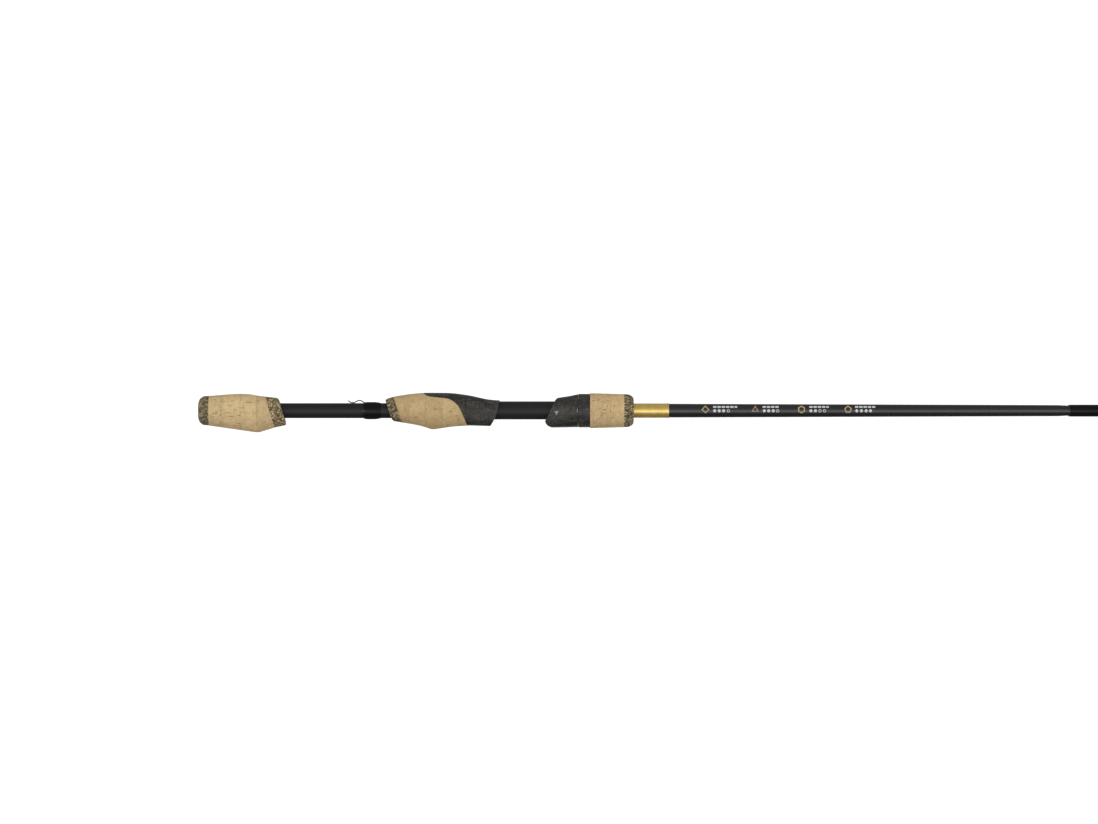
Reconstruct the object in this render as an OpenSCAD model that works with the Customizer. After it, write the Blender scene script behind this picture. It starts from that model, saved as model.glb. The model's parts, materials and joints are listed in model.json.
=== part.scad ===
// Three-section spinning rod. +X runs from butt to tip, +Z is up, and the reel and
// the guides hang on -Z. The origin is on the rod's axis, at the butt cap's end face.

/* [Blank] */
// Length of each of the three blank sections
section_len = 702; // [680:1:850]
// Length of blank that enters the section ahead of it
ferrule_len = 50; // [40:1:60]
// Outside radius of the blank through the grips
butt_r = 5.64; // [5:0.02:6.8]
// Outside radius of the blank just ahead of the foregrip
fore_r = 5.22; // [4.8:0.02:5.6]
// Outside radius of the butt section at its ferrule
ferrule_r = 4.18; // [3.8:0.02:4.8]
// Outside radius of the middle section at its front ferrule
mid_end_r = 2.75; // [2.4:0.05:3.2]
// Outside radius of the tip section at its front end
tip_end_r = 0.75; // [0.65:0.05:1]
// Wall of the butt section
butt_wall = 0.9; // [0.6:0.1:1.1]
// Wall of the middle and tip sections
upper_wall = 0.6; // [0.4:0.1:0.7]
// Wall of the female half of a ferrule
ferrule_wall = 0.54; // [0.45:0.01:0.7]
// Step down from the blank to the male half of a ferrule
ferrule_step = 0.35; // [0.3:0.05:0.4]
// Radial clearance between the two halves of a ferrule
ferrule_gap = 0.03; // [0.02:0.01:0.08]

/* [Butt grip] */
// Length of the rubberised-cork butt cap
cap_len = 8; // [5:0.5:9]
// Place of the joint between butt cork and collar, on the axis
butt_joint_x = 53.6; // [50:0.5:56]
// Place of the butt collar's front face, on the axis
butt_front_x = 63; // [60:0.5:75]
// Lean of the butt grip's cut faces, in degrees
butt_lean = 17; // [10:1:20]
// Radius that rounds the edges of the collars
edge_r = 1.5; // [0.8:0.1:2]

/* [Rear grip] */
// Place of the rear collar's back face, on the axis
rear_back_x = 142.9; // [140:0.5:144]
// Place of the joint between rear collar and cork, on the axis
rear_joint_x = 150; // [148:0.5:156]
// Lean of the rear grip's cut faces, in degrees
rear_lean = 19; // [10:1:21]

/* [Hook keeper] */
// Radius of the keeper's wire
wire_r = 0.4; // [0.3:0.05:0.5]
// Thickness of the keeper's wrap over the wire's foot
keeper_cover = 0.1; // [0.05:0.05:0.4]

/* [Reel seat] */
// Wall of the seat barrel
seat_wall = 1.2; // [1:0.05:1.5]
// Gap between blank and barrel that the arbors fill, at its narrowest
arbor_t = 0.16; // [0.1:0.02:0.4]
// Place of the barrel's rear end
seat_x = 204; // [203:0.5:205]
// Place where the barrel's thread begins
thread_x = 276; // [275:0.5:278]
// Place of the barrel's front end
seat_end_x = 313; // [310:0.5:313]
// Depth of the flat cut under the barrel for the reel's foot
saddle_cut = 0.4; // [0.2:0.05:0.5]
// Radial clearance of the sliding hood on the barrel
hood_gap = 0.08; // [0.05:0.01:0.1]
// Half-width of a hood's pocket beyond the barrel's side
pocket_side = 0.6; // [0.3:0.1:0.7]
// Height of the fixed hood's pocket under the barrel's flat
fixed_pocket_h = 4.12; // [3.8:0.02:4.2]
// Height of the sliding hood's pocket under the barrel's flat
sliding_pocket_h = 5; // [4.4:0.1:5.1]

/* [Locking nut] */
// Height of the locking nut's rim over the barrel
nut_rise = 5.6; // [5:0.1:6.2]
// Pitch of the seat thread
pitch = 2.5; // [2.5:0.1:3]
// Height of the seat thread
thread_h = 0.55; // [0.5:0.05:0.6]
// Radial clearance between thread crests and roots
thread_gap = 0.22; // [0.2:0.01:0.26]
// Place of the joint between nut and fore cork
nut_end_x = 293.8; // [293:0.1:296]
// Place of the joint between fore cork and fore cap
fore_joint_x = 319.4; // [319:0.1:321]
// Place of the fore cap's front face
fore_front_x = 326.5; // [325:0.1:332]

/* [Gold sleeve] */
// Thickness of the sleeve ahead of the foregrip
sleeve_t = 0.16; // [0.1:0.02:0.4]
// Place of the sleeve's front end
sleeve_end_x = 352.9; // [345:0.1:360]

/* [Guides] */
// Places of the two middle-section guides, as shares of the section's length
mid_guide_at = [0.292, 0.726];
// Places of the five tip-section guides, as shares of the section's length
tip_guide_at = [0.147, 0.375, 0.567, 0.731, 0.873];
// Outside diameters of the guide rings, from the butt
ring_d = [20, 12, 10, 8, 7, 6, 6];
// Heights of the ring centres below the blank's surface, from the butt
ring_drop = [26, 16.5, 11.5, 9, 7.5, 6.5, 6.5];
// Length of each guide foot
foot_len = 11; // [8:0.5:14]
// Height of a guide foot
foot_t = 0.5; // [0.4:0.05:0.6]
// Outside diameter of the tip-top's ring
tip_ring_d = 5.6; // [5:0.1:7]

/* [Hidden] */
$fn = 64;

around = 48;
cut = 0.01;
piece_gap = 0.3;
mid_x = section_len - ferrule_len;
tip_x = 2 * mid_x;
blank_back_x = 3;
socket_extra = 3;
tip_end_x = tip_x + section_len - 6;
male_taper = 0.15;
base_over_male = ferrule_gap + ferrule_wall - ferrule_step;
mid_base_r = ferrule_r + base_over_male;
tip_base_r = mid_end_r + base_over_male;

// Blank outlines: each point is [x, outside radius].
butt_outline = [[blank_back_x, butt_r], [140, butt_r], [350, fore_r], [mid_x, ferrule_r]];
mid_outline = [[mid_x + piece_gap, mid_base_r], [tip_x, mid_end_r]];
tip_outline = [[tip_x + piece_gap, tip_base_r], [tip_x + 60, tip_base_r - 0.3],
    [tip_end_x, tip_end_r]];

// Radii of the seat, from the blank outwards.
seat_bore_r = max(butt_r, fore_r) + arbor_t;
seat_r = seat_bore_r + seat_wall;
saddle_z = seat_r - saddle_cut;
pocket_w = seat_r + pocket_side;
nut_r = seat_r + nut_rise;
sleeve_r = lookup(seat_end_x, butt_outline) + sleeve_t;

function over(r, outline) = [for (p = outline) [p[0], r + p[1]]];

// Outlines of the butt grip: each point is [x, height over the blank].
butt_top = over(butt_r, [[cap_len, 5.45], [16, 6.05], [23, 6.65], [31, 7], [38, 6.8],
    [44, 5.75], [53, 4.65], [61, 3.85], [70, 3.25]]);
butt_low = over(butt_r, [[cap_len, 5.55], [43, 10.6], [45, 10.85], [47, 10.25], [58, 6.85],
    [80, 2.4]]);
butt_side = over(butt_r, [[cap_len, 5.45], [25, 6.95], [42, 7.55], [55, 5.95], [70, 3.95]]);

// Outlines of the rear grip and sliding hood: each point is [x, height over the barrel].
rear_top = over(seat_r, [[138, 0.9], [146, 3.35], [154, 4.8], [162, 5.85], [170, 6.4],
    [182, 6.4], [191, 6.1], [203, 4.5], [215, 1.9], [221, 1.05], [230, 0.6]]);
rear_low = over(seat_r, [[138, -0.6], [145.6, 0.75], [160.6, 3.15], [167, 4.5], [175, 7],
    [176.8, 7.15], [178.5, 6.8], [184.6, 5.85], [190.6, 5], [197, 4.5], [203, 4.2],
    [209, 4.35], [219, 4.65], [230, 4.8]]);
rear_side = over(seat_r, [[138, 0.4], [155, 4], [170, 5.6], [185, 5.6], [200, 4.3],
    [212, 2.7], [222, 1.9], [230, 1.8]]);
rear_square = [[138, 2], [195, 2], [212, 3.2], [230, 3.2]];
hood_top = over(seat_r, [[252, 0.5], [262, 1.2], [268, 2.3], [272, 3.05], [278, 3.95],
    [285, nut_rise - 0.2]]);
hood_low = over(seat_r, [[252, 5.4], [264, 5.7], [285, nut_rise - 0.2]]);
hood_side = over(seat_r, [[252, 1.9], [262, 2.3], [268, 3.2], [276, 4.4], [285, nut_rise - 0.2]]);
hood_square = [[252, 3.2], [264, 3.2], [285, 2]];

// Line between rear cork and seat shell, and the hoods' mouth lines, in X and Z.
shell_line = [[165, 16], [168.4, 13.5], [169.6, 12.5], [172, 11.1], [176, 10.4], [181, 9.85],
    [185, 9.4], [188, 8.8], [191, 7.3], [193.6, 5.1], [195.7, 2.6], [197.7, -1.7],
    [199.8, -6.3], [201.6, -10.8], [203, -15]];
fixed_mouth = [[226.6, 12], [226, 7.3], [225.2, 3], [224, -1.4], [222.2, -6.2], [219.2, -11.3],
    [218, -14]];
sliding_mouth = [[270, 15], [269.3, 9.9], [267.6, 7.7], [264.7, 1.5], [262, -4.2],
    [260.2, -7.4], [260.5, -9.4], [262.3, -11.5], [264.8, -12.6], [268.5, -15]];

// Seat thread, sliding hood and nut stations.
thread_root_r = seat_r - thread_h;
nut_root_r = seat_r + thread_gap;
nut_crest_r = thread_root_r + thread_gap;
insert_r = nut_root_r + 0.8;
nut_sleeve_r = insert_r + 0.5;
nut_bore_r = seat_r + 0.4;
hood_x = 255;
hood_end_x = 284.9;
nut_x = hood_end_x + 0.1;
neck_r = seat_r + 1.6;
lip_r = neck_r + 0.6;
lip_x = hood_end_x + 2.4;
neck_end_x = hood_end_x + 4.1;
neck_gap = 0.1;
insert_x = neck_end_x + piece_gap;
insert_end_x = insert_x + 9.7;
pocket_x = 209.5;
sliding_pocket_end_x = 275.5;
key_w = 1.4;
key_x = [276.4, 283.6];
key_travel = [-6.8, 14.8];
key_floor_z = seat_bore_r + 0.5;
thread_start_x = thread_x + 1.5;
rib_turns = 2.4;
rib_steps = 20;
rib_root = 0.15;
rib_base = 0.55;
rib_crest = 0.35;

// ---- Curves and shared shapes ----

function mix(a, b, t) = a + (b - a) * t;

// Tangent of an outline at point i.
function lean_at(p, i) =
    let (a = max(i - 1, 0), b = min(i + 1, len(p) - 1)) (p[b] - p[a]) / (b - a);

// Point on a smooth curve through p, where t runs from 0 to len(p) - 1.
function on_curve(p, t) =
    let (i = min(floor(t), len(p) - 2), u = t - i, m0 = lean_at(p, i), m1 = lean_at(p, i + 1))
    (2 * u^3 - 3 * u^2 + 1) * p[i] + (u^3 - 2 * u^2 + u) * m0
    + (3 * u^2 - 2 * u^3) * p[i + 1] + (u^3 - u^2) * m1;

function curve(p, steps) = [for (k = [0:(len(p) - 1) * steps]) on_curve(p, k / steps)];

function power(v, n) = sign(v) * pow(abs(v), 2 / n);

// One point of a grip's cross-section. shape is [top, low, side, squareness].
function rim(shape, x, a, inset) =
    let (n = lookup(x, shape[3]), up = sin(a) >= 0 ? shape[0] : shape[1])
    [(lookup(x, shape[2]) - inset) * power(cos(a), n), (lookup(x, up) - inset) * power(sin(a), n)];

// Where a grip's line at angle a crosses the plane through x with the given slant.
function cross_x(shape, x, slant, a, inset, k = 9) =
    k == 0 ? x : x - slant * rim(shape, cross_x(shape, x, slant, a, inset, k - 1), a, inset)[1];

// Solid lofted through rings, each [x on the axis, slant, inset].
module loft(shape, rings) {
    last = len(rings) - 1;
    points = [for (r = rings) for (j = [0:around - 1])
        let (a = 360 * j / around, x = cross_x(shape, r[0], r[1], a, r[2]),
            p = rim(shape, x, a, r[2])) [x, p[0], p[1]]];
    sides = [for (i = [0:last - 1]) for (j = [0:around - 1])
        let (k = (j + 1) % around, a = i * around, b = a + around)
        each [[a + j, b + j, b + k], [a + j, b + k, a + k]]];
    back = [for (j = [0:around - 1]) j];
    front = [for (j = [around - 1:-1:0]) last * around + j];
    polyhedron(points, concat([back, front], sides), convexity = 6);
}

function smooth(p) = curve(p, 4);

butt_shape = [smooth(butt_top), butt_low, smooth(butt_side), [[0, 2], [90, 2]]];
rear_shape = [smooth(rear_top), rear_low, smooth(rear_side), rear_square];
hood_shape = [smooth(hood_top), smooth(hood_low), smooth(hood_side), hood_square];

// Rings that round a grip's edge at x; side is 1 at a back edge and -1 at a front edge.
function round_rings(x, slant, side) = [for (b = side > 0 ? [0:30:60] : [60:-30:0])
    [x + side * edge_r * (1 - cos(b)), slant, edge_r * (1 - sin(b))]];

function plain_rings(x0, s0, x1, s1, n) = [for (i = [0:n]) [mix(x0, x1, i / n), mix(s0, s1, i / n), 0]];

module along_x() {
    rotate([0, 90, 0]) children();
}

// Solid of revolution about the X axis from [x, radius] points.
module turned(points) {
    end = len(points) - 1;
    along_x() rotate_extrude() polygon(concat([[0, points[0][0]]],
        [for (p = points) [p[1], p[0]]], [[0, points[end][0]]]));
}

module disc(x0, x1, r) {
    turned([[x0, r], [x1, r]]);
}

// Everything ahead of a line of [x, z] points, as a block across the rod.
module ahead_of(line) {
    rotate([90, 0, 0]) linear_extrude(60, center = true)
        polygon(concat(curve(line, 3), [[330, line[len(line) - 1][1]], [330, line[0][1]]]));
}

module butt_solid() {
    turned(concat(butt_outline, [[mid_x, ferrule_r - ferrule_step],
        [section_len, ferrule_r - ferrule_step - male_taper]]));
}

module mid_solid() {
    turned(concat(mid_outline, [[tip_x, mid_end_r - ferrule_step],
        [mid_x + section_len, mid_end_r - ferrule_step - male_taper]]));
}

module tip_solid() {
    turned(tip_outline);
}

// Socket of a ferrule over the male half that starts at x with radius r.
module socket(x, r) {
    turned([[x - 1, r + ferrule_gap], [x, r + ferrule_gap],
        [x + ferrule_len, r - male_taper + ferrule_gap],
        [x + ferrule_len + socket_extra, r - male_taper + ferrule_gap]]);
}

// Pocket behind a hood's mouth that takes an end of a reel's foot.
module pocket(x0, x1, height) {
    depth = saddle_z + height;
    translate([x0, 0, 0]) rotate([90, 0, 90]) linear_extrude(x1 - x0)
        polygon([for (j = [0:24]) let (a = 180 + 7.5 * j)
            [pocket_w * power(cos(a), 4), depth * power(sin(a), 4)]]);
}

// Helical rib about the X axis, right-handed. Its profile is [x, radius] points.
module helix(x0, turns, profile) {
    steps = ceil(turns * rib_steps);
    sides = len(profile);
    points = [for (i = [0:steps]) for (p = profile) let (a = 360 * i / rib_steps)
        [x0 + pitch * i / rib_steps + p[0], p[1] * cos(a), p[1] * sin(a)]];
    skin = [for (i = [0:steps - 1]) for (j = [0:sides - 1])
        let (k = (j + 1) % sides, a = i * sides, b = a + sides)
        each [[a + j, b + k, b + j], [a + j, a + k, b + k]]];
    caps = [[for (j = [sides - 1:-1:0]) j], [for (j = [0:sides - 1]) steps * sides + j]];
    polyhedron(points, concat(caps, skin), convexity = 20);
}

// Profile of a thread's rib, w0 to each side at radius r0 and w1 at radius r1.
function rib(r0, w0, r1, w1) = [[-w0, r0], [-w1, r1], [w1, r1], [w0, r0]];

module bar(a, b, r) {
    d = b - a;
    translate(a) rotate([0, acos(d[2] / norm(d)), atan2(d[1], d[0])]) cylinder(h = norm(d), r = r);
}

// ---- Butt section ----

module butt_blank() {
    color("#17171a") difference() {
        butt_solid();
        turned([[blank_back_x - 1, butt_r - butt_wall], [140, butt_r - butt_wall],
            [350, fore_r - butt_wall], [mid_x - 20, ferrule_r - ferrule_step - butt_wall],
            [section_len + 1, ferrule_r - ferrule_step - male_taper - butt_wall]]);
    }
}

module butt_cap() {
    face_r = 5;
    dome_x = 5.5;
    rim_r = butt_top[0][1] - 0.1;
    color("#6d6450") difference() {
        turned(concat([for (a = [0:7.5:90]) [dome_x * (1 - cos(a)), mix(face_r, rim_r, sin(a))]],
            [[cap_len, rim_r + 0.1]]));
        butt_solid();
    }
}

module butt_cork() {
    slant = tan(butt_lean);
    color("#cdb083") difference() {
        loft(butt_shape, plain_rings(cap_len, 0, butt_joint_x, slant, 16));
        butt_solid();
    }
}

module butt_collar() {
    slant = tan(butt_lean);
    color("#6d6450") difference() {
        loft(butt_shape, concat(plain_rings(butt_joint_x, slant, butt_front_x - edge_r, slant, 4),
            round_rings(butt_front_x, slant, -1)));
        butt_solid();
    }
}

// ---- Hook keeper ----

keeper_route = [[112.7, 7.4], [114, 6.35], [115.6, 6.06], [117.2, 6.2], [119, 7.2],
    [121, 7.75], [122.8, 7.1], [124.6, 6.06], [127, 6.05], [131, 6.05]];

module keeper_wire() {
    sides = 10;
    line = curve([for (p = keeper_route) [p[0], p[1] + butt_r + wire_r - 6.04]], 4);
    last = len(line) - 1;
    points = [for (i = [0:last]) for (j = [0:sides - 1])
        let (d = line[min(i + 1, last)] - line[max(i - 1, 0)], n = [-d[1], d[0]] / norm(d),
            a = 360 * j / sides)
        [line[i][0] + wire_r * n[0] * sin(a), wire_r * cos(a), line[i][1] + wire_r * n[1] * sin(a)]];
    skin = [for (i = [0:last - 1]) for (j = [0:sides - 1])
        let (k = (j + 1) % sides, a = i * sides, b = a + sides)
        each [[a + j, b + j, b + k], [a + j, b + k, a + k]]];
    caps = [[for (j = [0:sides - 1]) j], [for (j = [sides - 1:-1:0]) last * sides + j]];
    polyhedron(points, concat(caps, skin), convexity = 8);
}

module hook_keeper() {
    color("#2c2b2a") keeper_wire();
}

module keeper_wrap() {
    wrap_r = butt_r + 2 * wire_r + keeper_cover;
    color("#101012") difference() {
        turned([[123.8, butt_r + 0.1], [125, wrap_r - 0.25], [126.5, wrap_r], [132.5, wrap_r],
            [135, wrap_r - 0.3], [137, butt_r + 0.1]]);
        butt_solid();
        keeper_wire();
    }
}

// ---- Rear grip and reel seat ----

module rear_collar() {
    slant = tan(rear_lean);
    color("#6d6450") difference() {
        loft(rear_shape, concat(round_rings(rear_back_x, slant, 1),
            plain_rings(rear_back_x + edge_r, slant, rear_joint_x, slant, 3)));
        butt_solid();
    }
}

module rear_cork() {
    slant = tan(rear_lean);
    color("#cdb083") difference() {
        loft(rear_shape, plain_rings(rear_joint_x, slant, 205, 0, 20));
        ahead_of(shell_line);
        butt_solid();
    }
}

module seat_shell() {
    color("#2f2f29") difference() {
        intersection() {
            loft(rear_shape, plain_rings(167, 0, 228, 0, 22));
            ahead_of(shell_line);
        }
        ahead_of(fixed_mouth);
        butt_solid();
        disc(seat_x, 240, seat_r);
        pocket(pocket_x, 240, fixed_pocket_h);
    }
}

module seat_barrel() {
    color("#19191b") difference() {
        union() {
            disc(seat_x, thread_x, seat_r);
            disc(thread_x - cut, seat_end_x, thread_root_r);
            helix(thread_start_x, (seat_end_x - 1.5 - thread_start_x) / pitch,
                rib(thread_root_r - rib_root, rib_base, seat_r, rib_crest));
        }
        disc(seat_x - 1, seat_end_x + 1, seat_bore_r);
        translate([pocket_x - 2, -10, -saddle_z - 10]) cube([thread_x - pocket_x + 2, 20, 10]);
        translate([key_x[0] + key_travel[0], -key_w - 0.2, key_floor_z])
            cube([key_x[1] - key_x[0] + key_travel[1] - key_travel[0], 2 * key_w + 0.4, 3]);
    }
}

module arbor(x0, x1) {
    color("#8c7a56") difference() {
        disc(x0, x1, seat_bore_r);
        butt_solid();
    }
}

module rear_arbor() {
    arbor(seat_x + 2, seat_x + 26);
}

module front_arbor() {
    arbor(seat_end_x - 27, seat_end_x - 1);
}

module gold_sleeve() {
    color("#c29a45") difference() {
        disc(seat_end_x + 0.6, sleeve_end_x - 1.5, sleeve_r);
        butt_solid();
    }
}

module sleeve_ring() {
    color("#e0bd68") difference() {
        turned([[sleeve_end_x - 1.5, sleeve_r], [sleeve_end_x - 1.3, sleeve_r + 0.1],
            [sleeve_end_x - 0.2, sleeve_r + 0.1], [sleeve_end_x, sleeve_r]]);
        butt_solid();
    }
}

// ---- Sliding hood and locking nut ----

module sliding_hood() {
    bore = seat_r + hood_gap;
    color("#2f2f29") {
        difference() {
            union() {
                intersection() {
                    loft(hood_shape, plain_rings(hood_x, 0, hood_end_x, 0, 14));
                    ahead_of(sliding_mouth);
                }
                turned([[hood_end_x - 1, neck_r], [lip_x, neck_r], [lip_x, lip_r],
                    [neck_end_x - 0.5, lip_r], [neck_end_x, neck_r]]);
            }
            disc(hood_x - 1, neck_end_x + 1, bore);
            pocket(hood_x - 1, sliding_pocket_end_x, sliding_pocket_h);
        }
        translate([key_x[0], -key_w, key_floor_z + 0.15])
            cube([key_x[1] - key_x[0], 2 * key_w, seat_r - key_floor_z + 0.6]);
    }
}

module locking_nut() {
    color("#2b2b27") difference() {
        turned([[nut_x, nut_r - 0.4], [nut_x + 0.4, nut_r], [nut_end_x, nut_r],
            [nut_end_x, nut_sleeve_r], [fore_joint_x, nut_sleeve_r]]);
        turned([[nut_x - 1, neck_r + neck_gap], [lip_x - neck_gap, neck_r + neck_gap],
            [lip_x - neck_gap, lip_r + neck_gap], [neck_end_x + neck_gap, lip_r + neck_gap]]);
        disc(neck_end_x, insert_end_x, insert_r);
        disc(neck_end_x, fore_joint_x + 1, nut_bore_r);
    }
}

module nut_insert() {
    half_turn_x = thread_start_x + pitch / 2;
    rib_x = half_turn_x + ceil((insert_x + 0.6 - half_turn_x) / pitch) * pitch;
    color("#8f8f8c") {
        difference() {
            disc(insert_x, insert_end_x, insert_r);
            disc(insert_x - 1, insert_end_x + 1, nut_root_r);
        }
        helix(rib_x, rib_turns, rib(nut_crest_r, rib_crest, nut_root_r + rib_root, rib_base));
    }
}

module fore_cork() {
    color("#cdb083") difference() {
        turned([[nut_end_x, nut_r + 0.35], [nut_end_x + 0.6, nut_r + 0.55],
            [fore_joint_x, nut_r - 0.2]]);
        disc(nut_end_x - 1, fore_joint_x + 1, nut_sleeve_r);
    }
}

module fore_cap() {
    cap = fore_front_x - fore_joint_x;
    rim_r = nut_r - 0.2;
    face_r = rim_r - 4;
    color("#6d6450") difference() {
        turned(concat([[fore_joint_x, rim_r]],
            [for (a = [0:9:90]) [fore_joint_x + cap * (0.15 + 0.85 * sin(a)), mix(face_r, rim_r, cos(a))]]));
        disc(fore_joint_x - 1, fore_front_x + 1, sleeve_r + 0.12);
    }
}

// ---- Middle and tip sections ----

module mid_blank() {
    color("#17171a") difference() {
        mid_solid();
        socket(mid_x, ferrule_r - ferrule_step);
        turned([[section_len, ferrule_r - ferrule_step - male_taper - 0.1],
            [tip_x - 20, mid_end_r - ferrule_step - upper_wall],
            [mid_x + section_len + 1, mid_end_r - ferrule_step - male_taper - upper_wall]]);
    }
}

module tip_blank() {
    color("#17171a") difference() {
        tip_solid();
        socket(tip_x, mid_end_r - ferrule_step);
        turned([[mid_x + section_len, mid_end_r - ferrule_step - male_taper - 0.1],
            [tip_x + section_len * 0.7, 0.5]]);
    }
}

// Thread wrap with epoxy over a ferrule's mouth, round a blank of radius r.
module ferrule_wrap(x, r) {
    turned([[x + 1.2, r - 0.05], [x + 2, r + 0.1], [x + 36, r + 0.1], [x + 38, r - 0.15]]);
}

module mid_ferrule_wrap() {
    color("#101012") difference() {
        ferrule_wrap(mid_x, mid_base_r);
        mid_solid();
        socket(mid_x, ferrule_r - ferrule_step);
    }
}

module tip_ferrule_wrap() {
    color("#101012") difference() {
        ferrule_wrap(tip_x, tip_base_r);
        tip_solid();
        socket(tip_x, mid_end_r - ferrule_step);
    }
}

// ---- Guides ----

function guide_x(i) = i < 2 ? mid_x + section_len * mid_guide_at[i]
    : tip_x + section_len * tip_guide_at[i - 2];

function blank_r(i) = i < 2 ? lookup(guide_x(i), mid_outline) : lookup(guide_x(i), tip_outline);

function ring_wall(i) = ring_d[i] > 11 ? 1.6 : 1.1;

function ring_z(i) = -blank_r(i) - ring_drop[i];

function hoop_t(i) = ring_d[i] > 11 ? 0.8 : 0.55;

function leg_r(i) = ring_d[i] > 11 ? 0.55 : 0.38;

function foot_w(i) = ring_d[i] > 11 ? 2.6 : 1.8;

// The two large guides stand on two feet, the small ones on one.
function foot_sides(i) = ring_d[i] > 11 ? [-1, 1] : [-1];

function foot_reach(i) = ring_drop[i] * 0.55 + 2;

module blank_at(i) {
    if (i < 2) mid_solid();
    else tip_solid();
}

// Foot of a guide: a strip that lies against the blank on the side given by s.
module guide_foot(i, s) {
    x = guide_x(i) + s * foot_reach(i);
    r = blank_r(i);
    difference() {
        translate([min(x, x + s * foot_len), -foot_w(i) / 2, -r - foot_t])
            cube([foot_len, foot_w(i), r + foot_t]);
        blank_at(i);
    }
}

module guide_frame(i) {
    x = guide_x(i);
    r = ring_d[i] / 2;
    z_foot = -blank_r(i) - leg_r(i);
    y_foot = foot_w(i) / 2 - leg_r(i);
    leg_ring_r = r + hoop_t(i) / 2;
    color("#26262a") {
        translate([0, 0, ring_z(i)]) difference() {
            disc(x - 0.8, x + 0.8, r + hoop_t(i));
            disc(x - 1, x + 1, r);
        }
        for (s = foot_sides(i)) {
            guide_foot(i, s);
            for (y = [-1, 1])
                bar([x + s * (foot_reach(i) + 0.6), y * y_foot, z_foot],
                    [x + s * 0.3, y * leg_ring_r * sin(40), ring_z(i) + leg_ring_r * cos(40)],
                    leg_r(i));
        }
    }
}

// Ceramic ring with rounded lips, round its own axis at the origin.
module ring(r, wall, half_w) {
    lip = 0.35;
    along_x() rotate_extrude() polygon([
        [r, -half_w + lip], [r, half_w - lip], [r - lip, half_w], [r - wall + lip, half_w],
        [r - wall, half_w - lip], [r - wall, -half_w + lip], [r - wall + lip, -half_w],
        [r - lip, -half_w]]);
}

module guide_ring(i) {
    color("#3a3b40") translate([guide_x(i), 0, ring_z(i)])
        ring(ring_d[i] / 2, ring_wall(i), 1.2);
}

module guide_wrap(i) {
    r = blank_r(i);
    wrap_r = norm([foot_w(i) / 2, r + foot_t]) + 0.25;
    color("#101012") difference() {
        for (s = foot_sides(i)) {
            x = guide_x(i) + s * (foot_reach(i) + 1.4);
            a = min(x, x + s * (foot_len + 1.4));
            b = max(x, x + s * (foot_len + 1.4));
            turned([[a, r + 0.2], [a + 1.5, wrap_r], [b - 1.5, wrap_r], [b, r + 0.2]]);
        }
        blank_at(i);
        guide_frame(i);
    }
}

tip_ring_r = tip_ring_d / 2;
tip_ring_x = tip_end_x + 4.6;
tip_ring_z = -tip_ring_r - 2.2;
tip_tube_r = tip_end_r + 0.5;
tip_leg_r = 0.32;

module tip_top_tube() {
    color("#26262a") difference() {
        turned([[tip_end_x - 12, tip_tube_r - 0.2], [tip_end_x - 11.6, tip_tube_r],
            [tip_end_x + 0.4, tip_tube_r], [tip_end_x + 0.8, tip_tube_r - 0.3]]);
        tip_solid();
    }
}

module tip_top_frame() {
    r = tip_ring_r + 0.25;
    color("#26262a") {
        translate([0, 0, tip_ring_z]) difference() {
            disc(tip_ring_x - 0.7, tip_ring_x + 0.7, tip_ring_r + 0.5);
            disc(tip_ring_x - 1, tip_ring_x + 1, tip_ring_r);
        }
        difference() {
            union() {
                for (y = [-1, 1]) {
                    bar([tip_end_x + 0.4, y * 0.8 * tip_tube_r, -0.6 * tip_tube_r],
                        [tip_ring_x - 0.2, y * r * sin(35), tip_ring_z + r * cos(35)], tip_leg_r);
                    bar([tip_end_x - 7, y * 0.6, -tip_tube_r],
                        [tip_ring_x - 0.2, y * r * sin(80), tip_ring_z + r * cos(80)], tip_leg_r);
                }
            }
            tip_top_tube();
            tip_solid();
            translate([0, 0, tip_ring_z]) disc(tip_ring_x - 1, tip_ring_x + 1, tip_ring_r);
        }
    }
}

module tip_top_ring() {
    color("#3a3b40") translate([tip_ring_x, 0, tip_ring_z]) ring(tip_ring_r, 0.9, 1);
}

butt_blank();
butt_cap();
butt_cork();
butt_collar();
hook_keeper();
keeper_wrap();
rear_collar();
rear_cork();
seat_shell();
seat_barrel();
rear_arbor();
front_arbor();
gold_sleeve();
sleeve_ring();
sliding_hood();
locking_nut();
nut_insert();
fore_cork();
fore_cap();
mid_blank();
mid_ferrule_wrap();
tip_blank();
tip_ferrule_wrap();
for (i = [0:6]) {
    guide_frame(i);
    guide_ring(i);
    guide_wrap(i);
}
tip_top_tube();
tip_top_frame();
tip_top_ring();
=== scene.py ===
import json
import math

import bpy
import numpy as np
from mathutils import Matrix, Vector, noise
from mathutils.bvhtree import BVHTree


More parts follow.
